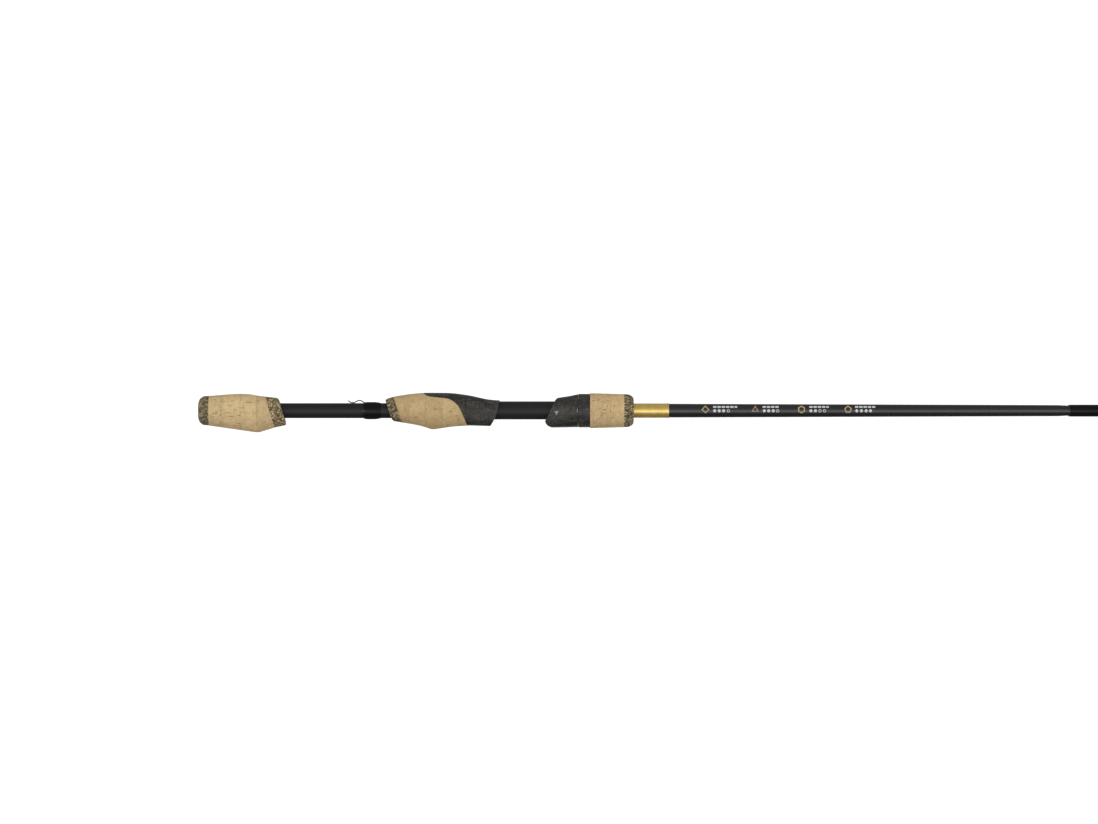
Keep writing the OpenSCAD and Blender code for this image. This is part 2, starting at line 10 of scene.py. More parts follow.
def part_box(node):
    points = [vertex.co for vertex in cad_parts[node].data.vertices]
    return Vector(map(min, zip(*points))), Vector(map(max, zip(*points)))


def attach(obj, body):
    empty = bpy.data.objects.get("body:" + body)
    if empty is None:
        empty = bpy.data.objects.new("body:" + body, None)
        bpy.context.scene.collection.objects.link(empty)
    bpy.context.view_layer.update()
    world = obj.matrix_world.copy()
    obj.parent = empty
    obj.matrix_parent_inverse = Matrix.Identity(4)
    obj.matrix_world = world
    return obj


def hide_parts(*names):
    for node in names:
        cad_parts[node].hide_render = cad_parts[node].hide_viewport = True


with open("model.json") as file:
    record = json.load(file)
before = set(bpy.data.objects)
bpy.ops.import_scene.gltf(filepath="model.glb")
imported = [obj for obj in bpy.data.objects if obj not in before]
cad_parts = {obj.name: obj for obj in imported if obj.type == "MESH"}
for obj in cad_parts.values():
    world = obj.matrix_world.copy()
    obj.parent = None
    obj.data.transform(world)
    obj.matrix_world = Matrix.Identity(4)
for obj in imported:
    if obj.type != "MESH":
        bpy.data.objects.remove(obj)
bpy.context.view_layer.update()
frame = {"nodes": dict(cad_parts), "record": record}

# The looks of a three-piece spinning rod. Metres, butt to tip along +X, +Z up, the axis on Y = Z = 0.
MM = 0.001
TAU = 2 * math.pi
AXIS_X = Vector((1, 0, 0))

# ---------------------------------------------------------------- camera, lights, floor
CAMERA_AT = (0.263, -4.575, -0.001)
CAMERA_LENS = 200
SENSOR_WIDTH = 36
FLOOR_Z = -0.35
FLOOR_SIZE = 120
FLOOR_GLOW = 0.56
KEY_LIGHT = {"from_direction": (-0.15, -0.5, 0.86), "angle": 90, "power": 0.85, "mirrored": False}
EDGE_LIGHT = {"from_direction": (-0.74, -0.67, 0), "angle": 20, "power": 0.4, "mirrored": True}
# Brightness of the white studio round the object, by elevation in degrees
STUDIO = [(-90, 0.1), (-60, 0.13), (-42, 0.2), (-28, 0.7), (-18, 1.55), (-6, 1.5), (1, 1.05), (6, 1.0)]
STUDIO += [(15, 0.5), (44, 0.3), (90, 0.26)]


def aim(obj, from_direction):
    """Turns a lamp so that its light comes from that direction."""
    obj.rotation_mode = "QUATERNION"
    obj.rotation_quaternion = Vector(from_direction).to_track_quat("Z", "Y")


def make_camera():
    data = bpy.data.cameras.new("camera")
    data.lens = CAMERA_LENS
    data.sensor_width = SENSOR_WIDTH
    data.clip_end = 200
    camera = bpy.data.objects.new("camera", data)
    bpy.context.scene.collection.objects.link(camera)
    camera.location = CAMERA_AT
    camera.rotation_euler = (math.pi / 2, 0, 0)
    bpy.context.scene.camera = camera


def make_sun(name, from_direction, angle, power, mirrored):
    """A soft distant lamp, which only shows in gloss if it is mirrored and never does if it isn't."""
    data = bpy.data.lights.new(name, "SUN")
    data.angle = math.radians(angle)
    data.energy = power
    sun = bpy.data.objects.new(name, data)
    bpy.context.scene.collection.objects.link(sun)
    sun.visible_glossy = mirrored
    sun.visible_diffuse = not mirrored
    aim(sun, from_direction)


def make_studio():
    scene = bpy.context.scene
    scene.view_settings.view_transform = "Standard"
    scene.world = bpy.data.worlds.new("studio")
    scene.world.use_nodes = True
    tree = scene.world.node_tree
    direction = tree.nodes.new("ShaderNodeTexCoord")
    split = tree.nodes.new("ShaderNodeSeparateXYZ")
    height = tree.nodes.new("ShaderNodeMapRange")
    height.inputs["From Min"].default_value = -1
    ramp = tree.nodes.new("ShaderNodeValToRGB")
    set_ramp(ramp, [((math.sin(math.radians(el)) + 1) / 2, (level,) * 3) for el, level in STUDIO])
    tree.links.new(direction.outputs["Generated"], split.inputs[0])
    tree.links.new(split.outputs["Z"], height.inputs["Value"])
    tree.links.new(height.outputs["Result"], ramp.inputs["Fac"])
    tree.links.new(ramp.outputs["Color"], tree.nodes["Background"].inputs["Color"])
    make_sun("key_light", **KEY_LIGHT)
    make_sun("edge_light", **EDGE_LIGHT)


def make_floor():
    half = FLOOR_SIZE / 2
    mesh = bpy.data.meshes.new("floor")
    corners = [(-half, -half), (half, -half), (half, half), (-half, half)]
    mesh.from_pydata([(x, y, FLOOR_Z) for x, y in corners], [], [(0, 1, 2, 3)])
    floor = bpy.data.objects.new("floor", mesh)
    bpy.context.scene.collection.objects.link(floor)
    look = Look("floor_white", roughness=0.9)
    look.shader.inputs["Base Color"].default_value = (0.86, 0.86, 0.86, 1)
    look.shader.inputs["Specular IOR Level"].default_value = 0.0
    look.shader.inputs["Emission Color"].default_value = (1, 1, 1, 1)
    look.shader.inputs["Emission Strength"].default_value = FLOOR_GLOW
    mesh.materials.append(look.material)
    # The floor is seen, and it throws no light back up at the rod.
    floor.visible_diffuse = False
    floor.visible_glossy = False
    floor.visible_shadow = False


# ---------------------------------------------------------------- shader helpers
def set_ramp(node, stops):
    """Sets a colour ramp's stops from (place, colour) pairs."""
    elements = node.color_ramp.elements
    while len(elements) < len(stops):
        elements.new(1.0)
    for element, (place, colour) in zip(elements, stops):
        element.position = place
        element.color = (*colour, 1)


class Look:
    """One material, with short calls for the nodes that its pattern needs."""

    def __init__(self, name, **plain):
        self.material = bpy.data.materials.new(name)
        self.material.use_nodes = True
        self.tree = self.material.node_tree
        self.shader = self.tree.nodes["Principled BSDF"]
        self.place = self.tree.nodes.new("ShaderNodeTexCoord").outputs["Object"]
        names = {
            "roughness": "Roughness",
            "metallic": "Metallic",
            "coat": "Coat Weight",
            "coat_roughness": "Coat Roughness",
            "specular": "Specular IOR Level",
        }
        for key, value in plain.items():
            self.shader.inputs[names[key]].default_value = value

    def node(self, kind, inputs, output=0, **settings):
        """Adds a node. An input is a number, a colour or another node's output."""
        made = self.tree.nodes.new(kind)
        for key, value in settings.items():
            setattr(made, key, value)
        for key, value in inputs.items():
            if isinstance(value, bpy.types.NodeSocket):
                self.tree.links.new(value, made.inputs[key])
            else:
                made.inputs[key].default_value = value
        return made.outputs[output]

    def stretched(self, x, y, z):
        """The place on the piece, with its axes scaled: patterns per metre along each."""
        return self.node("ShaderNodeMapping", {"Vector": self.place, "Scale": (x, y, z)})

    def shoved(self, scale, detail, amount):
        """The place on the piece, pushed about a little, so that cells lose their straight sides."""
        inputs = {"Vector": self.place, "Scale": scale, "Detail": detail}
        return self.mix(amount, self.place, self.node("ShaderNodeTexNoise", inputs, "Color"), "ADD")

    def noise(self, place, scale=1.0, detail=3.0, roughness=0.55, distortion=0.0):
        inputs = {"Vector": place, "Scale": scale, "Detail": detail, "Roughness": roughness}
        inputs["Distortion"] = distortion
        return self.node("ShaderNodeTexNoise", inputs)

    def cells(self, place, scale, output="Color", **settings):
        return self.node("ShaderNodeTexVoronoi", {"Vector": place, "Scale": scale}, output, **settings)

    def ramp(self, value, stops):
        """A colour for each level of value, from (level, grey or colour) pairs."""
        made = self.tree.nodes.new("ShaderNodeValToRGB")
        set_ramp(made, [(at, tone if isinstance(tone, tuple) else (tone,) * 3) for at, tone in stops])
        self.tree.links.new(value, made.inputs["Fac"])
        return made.outputs["Color"]

    def mix(self, amount, a, b, blend="MIX"):
        made = self.tree.nodes.new("ShaderNodeMix")
        made.data_type = "RGBA"
        made.blend_type = blend
        for index, value in ((0, amount), (6, a), (7, b)):
            if isinstance(value, bpy.types.NodeSocket):
                self.tree.links.new(value, made.inputs[index])
            elif isinstance(value, tuple):
                made.inputs[index].default_value = (*value, 1)
            else:
                made.inputs[index].default_value = value
        return made.outputs[2]

    def math(self, operation, a, b=0.0):
        return self.node("ShaderNodeMath", {0: a, 1: b}, operation=operation)

    def attribute(self, name):
        return self.node("ShaderNodeAttribute", {}, "Fac", attribute_name=name)

    def along(self):
        """The distance from the butt, in millimetres."""
        split = self.node("ShaderNodeSeparateXYZ", {0: self.place})
        return self.math("MULTIPLY", split, 1 / MM)

    def colour(self, value):
        self.tree.links.new(value, self.shader.inputs["Base Color"])

    def rough(self, value):
        self.tree.links.new(value, self.shader.inputs["Roughness"])

    def bump(self, height, depth_mm, strength=1.0):
        inputs = {"Height": height, "Distance": depth_mm * MM, "Strength": strength}
        self.tree.links.new(self.node("ShaderNodeBump", inputs), self.shader.inputs["Normal"])


# ---------------------------------------------------------------- materials, one for each slot
CORK_DISC = 12.6  # mm, the thickness of the discs that a grip is glued up from
DISC_START = 6.1  # mm, how far behind the butt the count of discs starts
BUTT_GRIP_END = 100  # mm, the butt grip ends before here and the rear grip starts after it
FORE_GRIP_START = 250  # mm, the rear grip ends before here and the foregrip starts after it
BUTT_TINT, REAR_TINT, FORE_TINT = (1.0, 0.99, 0.98), (0.84, 0.81, 0.77), (0.94, 0.91, 0.87)
COLLAR_START = 40  # mm, the rubberised cork from here to BUTT_GRIP_END is the butt collar
COLLAR_TINT, GRANULE_TINT = (1.5, 1.46, 1.4), (1.06, 1.06, 1.06)
GRANULES = 820  # a metre, the rubberised cork's granules
THREAD_PITCH = 0.24  # mm, from turn to turn of a wrap's thread


def cork_look():
    """Tan cork: tone from disc to disc, turning marks round the grip, pores and dark cracks."""
    look = Look("cork", roughness=0.82, specular=0.25)
    lumps = look.noise(look.place, 240, 5, 0.6)
    tans = [(0.3, (0.6, 0.425, 0.215)), (0.5, (0.68, 0.5, 0.265)), (0.72, (0.75, 0.58, 0.33))]
    tan = look.ramp(lumps, tans)
    tint = look.mix(look.math("GREATER_THAN", look.along(), BUTT_GRIP_END), BUTT_TINT, REAR_TINT)
    tint = look.mix(look.math("GREATER_THAN", look.along(), FORE_GRIP_START), tint, FORE_TINT)
    tan = look.mix(1.0, tan, tint, "MULTIPLY")
    discs = look.math("DIVIDE", look.math("ADD", look.along(), DISC_START), CORK_DISC)
    tone = look.node("ShaderNodeTexWhiteNoise", {"W": look.math("FLOOR", discs)}, noise_dimensions="1D")
    tan = look.mix(1.0, tan, look.ramp(tone, [(0, 0.93), (1, 1.05)]), "MULTIPLY")
    glue = look.ramp(look.math("FRACT", discs), [(0.0, 0.78), (0.028, 1.0), (0.972, 1.0), (1.0, 0.78)])
    tan = look.mix(1.0, tan, glue, "MULTIPLY")
    turning = look.noise(look.stretched(2300, 130, 130), 1, 2, 0.5)
    tan = look.mix(1.0, tan, look.ramp(turning, [(0.3, 0.9), (0.6, 1.04)]), "MULTIPLY")
    grain = look.noise(look.stretched(600, 1500, 1500), 1, 3, 0.6)
    tan = look.mix(1.0, tan, look.ramp(grain, [(0.32, 0.84), (0.46, 1.0), (0.7, 1.05)]), "MULTIPLY")
    pores = look.cells(look.place, 620, "Distance")
    pore_zone = look.ramp(look.noise(look.place, 330, 2), [(0.5, 0.0), (0.62, 1.0)])
    pore = look.mix(1.0, look.ramp(pores, [(0.1, 1.0), (0.24, 0.0)]), pore_zone, "MULTIPLY")
    tan = look.mix(look.math("MULTIPLY", pore, 0.6), tan, (0.2, 0.115, 0.05))
    hairs = look.noise(look.stretched(230, 1700, 1700), 1, 2, 0.5, 0.4)
    hair = look.ramp(hairs, [(0.66, 0.0), (0.73, 1.0)])
    tan = look.mix(look.math("MULTIPLY", hair, 0.5), tan, (0.24, 0.14, 0.06))
    crack = look.attribute("crack")
    tan = look.mix(look.ramp(crack, [(0.12, 0.0), (0.6, 1.0)]), tan, (0.075, 0.042, 0.02))
    look.colour(tan)
    relief = look.math("SUBTRACT", look.math("MULTIPLY", grain, 0.5), look.math("MULTIPLY", pore, 0.6))
    look.bump(relief, 0.12, 0.7)
    look.rough(look.ramp(lumps, [(0.3, 0.88), (0.7, 0.74)]))
    return look.material


def rubber_cork_look():
    """Cork granules bound in dark rubber: each granule has its own tone."""
    look = Look("rubber_cork", roughness=0.8, specular=0.3)
    place = look.shoved(900, 2, 0.0012)
    granule = look.node("ShaderNodeSeparateXYZ", {0: look.cells(place, GRANULES)})
    stops = [(0.0, (0.06, 0.046, 0.024)), (0.3, (0.13, 0.1, 0.052)), (0.55, (0.23, 0.178, 0.098))]
    stops += [(0.78, (0.34, 0.265, 0.15)), (0.93, (0.52, 0.41, 0.245))]
    tone = look.ramp(granule, stops)
    joint = look.cells(place, GRANULES, "Distance", feature="DISTANCE_TO_EDGE")
    tone = look.mix(look.ramp(joint, [(0.0, 0.75), (0.14, 0.0)]), tone, (0.03, 0.026, 0.018))
    fine = look.noise(look.place, 2600, 3)
    tone = look.mix(1.0, tone, look.ramp(fine, [(0.3, 0.72), (0.7, 1.25)]), "MULTIPLY")
    past_start = look.math("GREATER_THAN", look.along(), COLLAR_START)
    in_collar = look.math("MULTIPLY", past_start, look.math("LESS_THAN", look.along(), BUTT_GRIP_END))
    tone = look.mix(1.0, tone, look.mix(in_collar, GRANULE_TINT, COLLAR_TINT), "MULTIPLY")
    look.colour(tone)
    look.bump(look.ramp(joint, [(0.0, 0.0), (0.25, 1.0)]), 0.14, 0.8)
    look.rough(look.ramp(fine, [(0.3, 0.9), (0.7, 0.7)]))
    return look.material


def marbled_look():
    """Charcoal composite with olive-grey swirls and light and dark specks, lightly sanded."""
    look = Look("marbled_composite", roughness=0.42, specular=0.4)
    swirl = look.noise(look.stretched(120, 170, 170), 1, 6, 0.65, 1.2)
    charcoals = [(0.32, (0.009, 0.009, 0.009)), (0.48, (0.02, 0.019, 0.017)), (0.62, (0.036, 0.034, 0.027))]
    base = look.ramp(swirl, charcoals)
    flakes = look.node("ShaderNodeSeparateXYZ", {0: look.cells(look.shoved(1500, 3, 0.0009), 1900)})
    flake_tone = look.ramp(flakes, [(0.0, 0.62), (0.4, 0.95), (0.72, 1.15), (0.9, 2.0), (0.985, 4.2)])
    base = look.mix(1.0, base, flake_tone, "MULTIPLY")
    streaks = look.noise(look.stretched(210, 420, 420), 1, 5, 0.6, 2.0)
    veins = look.ramp(streaks, [(0.49, 0.0), (0.5, 1.0), (0.52, 0.0)])
    base = look.mix(look.math("MULTIPLY", veins, 0.35), base, (0.14, 0.13, 0.095))
    look.colour(base)
    sanding = look.noise(look.stretched(1800, 500, 500), 1, 3)
    look.rough(look.ramp(sanding, [(0.3, 0.36), (0.7, 0.52)]))
    look.bump(look.mix(0.5, sanding, flakes), 0.035, 0.5)
    return look.material


def blank_look(name="blank", roughness=0.28, specular=0.85):
    """Carbon under satin lacquer: near black, with faint fibres running along it."""
    look = Look(name, roughness=roughness, specular=specular)
    fibre = look.noise(look.stretched(45, 3200, 3200), 1, 3, 0.6)
    look.colour(look.ramp(fibre, [(0.3, (0.0055, 0.0055, 0.0062)), (0.7, (0.0105, 0.0105, 0.0115))]))
    cloud = look.noise(look.stretched(90, 700, 700), 1, 3)
    look.rough(look.ramp(cloud, [(0.3, roughness - 0.03), (0.7, roughness + 0.03)]))
    look.bump(fibre, 0.002, 0.3)
    return look.material


def barrel_look():
    """The seat's moulded barrel: satin black with a very fine moulding texture."""
    look = Look("seat_barrel", roughness=0.46, specular=0.32)
    speckle = look.noise(look.place, 1900, 3)
    look.colour(look.ramp(speckle, [(0.3, (0.012, 0.0105, 0.011)), (0.7, (0.018, 0.016, 0.0165))]))
    look.rough(look.ramp(speckle, [(0.3, 0.42), (0.7, 0.52)]))
    look.bump(speckle, 0.012, 0.3)
    return look.material


def wrap_look():
    """Thread wound tight round the blank, seen through a clear gloss coat."""
    look = Look("epoxy_wrap", roughness=0.5, coat=0.3, coat_roughness=0.05, specular=0.05)
    turns = look.math("SINE", look.math("MULTIPLY", look.along(), TAU / THREAD_PITCH))
    thread = look.noise(look.stretched(5200, 420, 420), 1, 2)
    look.colour(look.mix(thread, (0.002, 0.002, 0.0024), (0.0075, 0.0075, 0.008)))
    look.bump(look.math("MULTIPLY", look.math("ADD", turns, 1.0), 0.5), 0.02, 0.5)
    return look.material


def metal_look(name, colour, roughness, marks=(60, 2600), depth=0.004, metallic=1.0):
    """Metal with fine polishing marks: marks gives how many there are in a metre along and across."""
    look = Look(name, metallic=metallic, roughness=roughness)
    lines = look.noise(look.stretched(marks[0], marks[1], marks[1]), 1, 4, 0.6)
    dark = tuple(c * 0.86 for c in colour)
    light = tuple(min(1.0, c * 1.08) for c in colour)
    look.colour(look.ramp(lines, [(0.3, dark), (0.7, light)]))
    look.rough(look.ramp(lines, [(0.3, roughness * 0.85), (0.7, roughness * 1.2)]))
    look.bump(lines, depth, 0.4)
    return look.material


def gold_look():
    return metal_look("gold_metal", (0.97, 0.69, 0.22), 0.3, marks=(2600, 90), metallic=0.8)


def ceramic_look():
    """Dark polished guide ring."""
    look = Look("ceramic", roughness=0.08, specular=0.7, coat=0.6, coat_roughness=0.05)
    cloud = look.noise(look.place, 500, 3)
    look.colour(look.ramp(cloud, [(0.3, (0.02, 0.021, 0.024)), (0.7, (0.038, 0.04, 0.046))]))
    return look.material


def arbor_look():
    """Fibre tape wound on the blank under the seat."""
    look = Look("arbor", roughness=0.85)
    tape = look.noise(look.stretched(400, 2400, 2400), 1, 3)
    look.colour(look.ramp(tape, [(0.3, (0.32, 0.24, 0.13)), (0.7, (0.5, 0.4, 0.24))]))
    look.bump(tape, 0.05, 0.5)
    return look.material


def print_look(name, colour):
    """Thin screen-printed ink, a little worn."""
    look = Look(name, roughness=0.5)
    wear = look.noise(look.place, 2200, 3)
    look.colour(look.ramp(wear, [(0.3, tuple(c * 0.8 for c in colour)), (0.55, colour)]))
    return look.material


def make_looks():
    return {
        "blank": blank_look(),
        "cork": cork_look(),
        "rubber_cork": rubber_cork_look(),
        "marbled_composite": marbled_look(),
        "seat_barrel": barrel_look(),
        "epoxy_wrap": wrap_look(),
        "dark_wire": metal_look("dark_wire", (0.1, 0.1, 0.105), 0.28),
        "dark_steel": metal_look("dark_steel", (0.11, 0.11, 0.118), 0.24),
        "ceramic": ceramic_look(),
        "gold_metal": gold_look(),
        "insert_metal": metal_look("insert_metal", (0.56, 0.56, 0.55), 0.32, marks=(3000, 80)),
        "arbor": arbor_look(),
    }


# ---------------------------------------------------------------- mesh helpers
FAR = 0.06  # m, rays start this far from the axis
END_SLOPE = 0.8  # a surface whose normal leans this far along X belongs to an end face
SHARP, SKIN_SHARP = math.radians(34), math.radians(60)
BODY_OF = {n: body for body, members in frame["record"]["behaviour"]["bodies"].items() for n in members}


def surface(obj):
    """A mesh as a tree that rays can be cast at."""
    mesh = obj.data
    return BVHTree.FromPolygons([v.co for v in mesh.vertices], [p.vertices[:] for p in mesh.polygons])


def new_piece(name, points, faces, slot, body, node=None, sharp=SHARP):
    """Makes a smooth-shaded piece from points in metres, riding on a body and standing for a node."""
    mesh = bpy.data.meshes.new(name)
    mesh.from_pydata([tuple(p) for p in points], [], faces)
    mesh.validate()
    mesh.polygons.foreach_set("use_smooth", [True] * len(mesh.polygons))
    mesh.set_sharp_from_angle(angle=sharp)
    mesh.materials.append(looks[slot])
    piece = bpy.data.objects.new(name, mesh)
    bpy.context.scene.collection.objects.link(piece)
    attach(piece, body)
    if node:
        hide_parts(node)
    return piece


def slot_of(node):
    """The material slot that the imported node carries."""
    return frame["nodes"][node].data.materials[0].name


def stand_in(node, points, faces, **options):
    """A finer piece in place of a node, with the node's own body and material slot."""
    return new_piece(node + "_piece", points, faces, slot_of(node), BODY_OF[node], node, **options)


def ring_faces(rings, sides, closed):
    """Quads between rings of equal size. closed joins the last ring to the first."""
    faces = []
    for i in range(rings if closed else rings - 1):
        a, b = i * sides, (i + 1) % rings * sides
        for j in range(sides):
            k = (j + 1) % sides
            faces.append((a + j, a + k, b + k, b + j))
    return faces


def welded(node):
    """A node's own surface, its doubled points joined and shaded smooth between its edges."""
    mesh = frame["nodes"][node].data
    index, points, faces = {}, [], []
    for polygon in mesh.polygons:
        face = []
        for v in polygon.vertices:
            co = mesh.vertices[v].co
            key = tuple(round(c * 1e7) for c in co)
            if key not in index:
                index[key] = len(points)
                points.append(co.copy())
            face.append(index[key])
        if len(set(face)) == len(face):
            faces.append(face)
    return stand_in(node, points, faces)


# ---------------------------------------------------------------- turned pieces: blanks, sleeve, wraps
STRAIGHT = 0.0004 * MM  # a point this close to the line through its neighbours isn't needed


def profile(node, outwards):
    """(X, radius) along a turned node's outside or its bore, with only the points its shape needs."""
    mesh = frame["nodes"][node].data
    radii = {}
    for polygon in mesh.polygons:
        centre, normal = polygon.center, polygon.normal
        facing = (centre.y * normal.y + centre.z * normal.z) / math.hypot(centre.y, centre.z)
        if facing * outwards > 0.2:
            for v in polygon.vertices:
                co = mesh.vertices[v].co
                radii[round(co.x, 6)] = math.hypot(co.y, co.z)
    line = sorted(radii.items())
    kept = line[:1]
    for point, after in zip(line[1:], line[2:]):
        share = (point[0] - kept[-1][0]) / (after[0] - kept[-1][0])
        if abs(kept[-1][1] + (after[1] - kept[-1][1]) * share - point[1]) > STRAIGHT:
            kept.append(point)
    return kept + line[-1:]


def turned(node, sides=96, step=12 * MM):
    """A turned node again, with many more sides and even rings along it."""
    corners = profile(node, 1) + profile(node, -1)[::-1]
    loop = []
    for (x0, r0), (x1, r1) in zip(corners, corners[1:] + corners[:1]):
        parts = max(1, math.ceil(abs(x1 - x0) / step))
        loop += [(x0 + (x1 - x0) * i / parts, r0 + (r1 - r0) * i / parts) for i in range(parts)]
    angles = np.arange(sides) * TAU / sides
    points = [(x, r * math.cos(a), r * math.sin(a)) for x, r in loop for a in angles]
    return stand_in(node, points, ring_faces(len(loop), sides, True))


def matt_behind_seat(blank):
    """The butt blank is lacquered matt behind the reel seat and satin ahead of it."""
    mesh = blank.data
    mesh.materials.append(blank_look("blank_matt", roughness=0.5, specular=0.42))
    seat_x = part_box("seat_barrel")[0].x
    for polygon in mesh.polygons:
        if polygon.center.x < seat_x:
            polygon.material_index = 1


# ---------------------------------------------------------------- grips: fine skins off the CAD surface
FINE_STEP, GRANULE_STEP = 0.28 * MM, 0.34 * MM
CRACK_DEPTH, PORE_DEPTH, GRANULE_GAP_DEPTH = 0.32, 0.12, 0.07  # mm
TIP_RADIUS = 0.05 * MM  # the smallest ring, at the middle of a closed end


class Skin:
    """Rings of points round a grip: its back end, its side, its front end and its bore."""

    def __init__(self, node, step=FINE_STEP):
        self.node = node
        self.tree = surface(frame["nodes"][node])
        self.low, self.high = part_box(node)
        radius = max(self.high.y, self.high.z, -self.low.z)
        self.sides = 2 * round(TAU * radius / step / 2)
        self.angles = np.arange(self.sides) * TAU / self.sides
        spans = [self.span(a) for a in self.angles]
        longest = max(b - a for a, b in spans)
        self.rings = max(8, round(longest / step))
        side = [self.ring(spans, share) for share in np.linspace(0, 1, self.rings)]
        bore = self.bore_radius()
        back = self.end(side[0], bore, -1)
        front = self.end(side[-1], bore, 1)
        loop = back[::-1] + side + front
        self.first_side = len(back)
        self.points = np.array([tuple(p) for ring in loop for p in ring])
        through = math.hypot(loop[0][0].y, loop[0][0].z) > 2 * TIP_RADIUS
        self.faces = ring_faces(len(loop), self.sides, through)
        if not through:
            self.faces.append(tuple(range(self.sides))[::-1])
            self.faces.append(tuple(range(len(self.points) - self.sides, len(self.points))))

    def out(self, angle):
        return Vector((0, math.cos(angle), math.sin(angle)))

    def on_side(self, x, angle):
        """The outermost point at a station and angle, and whether it is on the grip's side."""
        out = self.out(angle)
        place, normal, _, _ = self.tree.ray_cast(Vector((x, 0, 0)) + out * FAR, -out)
        return place, place is not None and place.dot(out) > 0 and abs(normal.x) < END_SLOPE

    def ring(self, spans, share):
        """A ring of points on the side, a share of the way along it at every angle."""
        return [self.on_side(a + (b - a) * share, angle)[0] for (a, b), angle in zip(spans, self.angles)]

    def span(self, angle):
        """The first and last station where the grip has a side at this angle."""
        stations = np.linspace(self.low.x, self.high.x, 48)
        seen = [x for x in stations if self.on_side(x, angle)[1]]
        step = stations[1] - stations[0]
        return self.edge(seen[0], seen[0] - step, angle), self.edge(seen[-1], seen[-1] + step, angle)

    def edge(self, inside, outside, angle):
        for _ in range(16):
            middle = (inside + outside) / 2
            if self.on_side(middle, angle)[1]:
                inside = middle
            else:
                outside = middle
        return inside

    def bore_radius(self):
        """The bore's radius, found from the axis outwards near the front end."""
        for share in (0.9, 0.7, 0.5):
            x = self.low.x + (self.high.x - self.low.x) * share
            hits = [self.tree.ray_cast(Vector((x, 0, 0)), self.out(a))[0] for a in (0.1, 1.7, 3.3, 4.9)]
            if all(hits):
                return min(math.hypot(p.y, p.z) for p in hits)
        return 1 * MM

    def end(self, rim, bore, way):
        """Rings from the rim in to the bore over an end face. A blind end goes in to the axis."""
        start = self.low.x - FAR if way < 0 else self.high.x + FAR
        blind = self.tree.ray_cast(Vector((start, 0, 0)), AXIS_X * -way)[0]
        open_end = blind is None or (way > 0) == (blind.x < self.high.x - 1 * MM)
        inner = bore if open_end else TIP_RADIUS
        rings = []
        for share in np.linspace(0, 1, 15)[1:] ** 0.8:
            ring = []
            for point, angle in zip(rim, self.angles):
                out = self.out(angle)
                radius = math.hypot(point.y, point.z) * (1 - share) + inner * share
                radius += 0.01 * MM if open_end else 0
                hit = self.tree.ray_cast(Vector((start, 0, 0)) + out * radius, AXIS_X * -way)[0]
                x = hit.x if hit else point.x
                ring.append(Vector((x, 0, 0)) + out * radius)
            rings.append(ring)
        if blind is not None and open_end:
            rings.append([Vector((blind.x, 0, 0)) + self.out(a) * inner for a in self.angles])
            rings.append([Vector((blind.x, 0, 0)) + self.out(a) * TIP_RADIUS for a in self.angles])
        return rings

    def piece(self, depths, **attributes):
        """Makes the piece, pressed in by a depth in metres at each point."""
        made = stand_in(self.node, self.points, self.faces, sharp=SKIN_SHARP)
        mesh = made.data
        normals = np.empty(len(mesh.vertices) * 3)
        mesh.vertex_normals.foreach_get("vector", normals)
        moved = self.points - normals.reshape(-1, 3) * depths[:, None]
        mesh.vertices.foreach_set("co", moved.ravel())
        for name, values in attributes.items():
            mesh.attributes.new(name, "FLOAT", "POINT").data.foreach_set("value", values.astype(np.float32))
        mesh.update()
        return made

    def shown(self):
        """1 on the side and the end faces, 0 in the bore."""
        radii = np.hypot(self.points[:, 1], self.points[:, 2])
        bore = self.bore_radius()
        return (radii > bore + 0.4 * MM).astype(float)


def wavy(values, seed):
    """A smooth wander from -1 to 1 along values, for ragged edges."""
    rng = np.random.default_rng(seed)
    waves = [(rng.uniform(0.6, 4.5), rng.uniform(0, TAU)) for _ in range(5)]
    return sum(np.sin(values * rate + phase) for rate, phase in waves) / len(waves)


def crack_depths(skin, marks, seed):
    """Lens-shaped cracks in a cork's side. A mark is (X, Z share, length, width, lengthways), in mm."""
    x = skin.points[:, 0] / MM
    angle = np.arctan2(skin.points[:, 2], skin.points[:, 1])
    radius = np.hypot(skin.points[:, 1], skin.points[:, 2]).max() / MM
    level = np.zeros(len(x))
    for number, (at_x, at_angle, length, width, lengthways) in enumerate(marks):
        around = ((angle - at_angle + math.pi) % TAU - math.pi) * radius
        along = x - at_x
        u, v = (along, around) if lengthways else (around, along)
        v = v + wavy(u * 1.3, seed + number) * width * 0.7
        reach = 1 - (u / (length / 2)) ** 2
        ragged = width / 2 * (0.75 + 0.25 * wavy(u * 3.1, seed + 90 + number))
        shape = np.clip(reach, 0, 1) ** 0.5 * ragged
        level = np.maximum(level, np.clip(1.15 - np.abs(v) / np.maximum(shape, 1e-3), 0, 1) * (reach > 0))
    return level * skin.shown()


def scattered_cracks(skin, count, seed, seams=()):
    """Cracks strewn round a cork: most run lengthways, and short ones sit along the glued seams."""
    rng = np.random.default_rng(seed)
    low, high = skin.low.x / MM + 2, skin.high.x / MM - 2
    marks = []
    for _ in range(count):
        long = rng.uniform(0.8, 4.6) if rng.random() < 0.55 else rng.uniform(0.5, 1.2)
        place = rng.uniform(low, high), rng.uniform(-math.pi, math.pi)
        marks.append((*place, long, rng.uniform(0.36, 0.72), True))
    for seam in seams:
        for _ in range(count // 3):
            place = seam + rng.normal(0, 0.15), rng.uniform(-math.pi, math.pi)
            marks.append((*place, rng.uniform(0.8, 3.2), 0.32, False))
    return marks


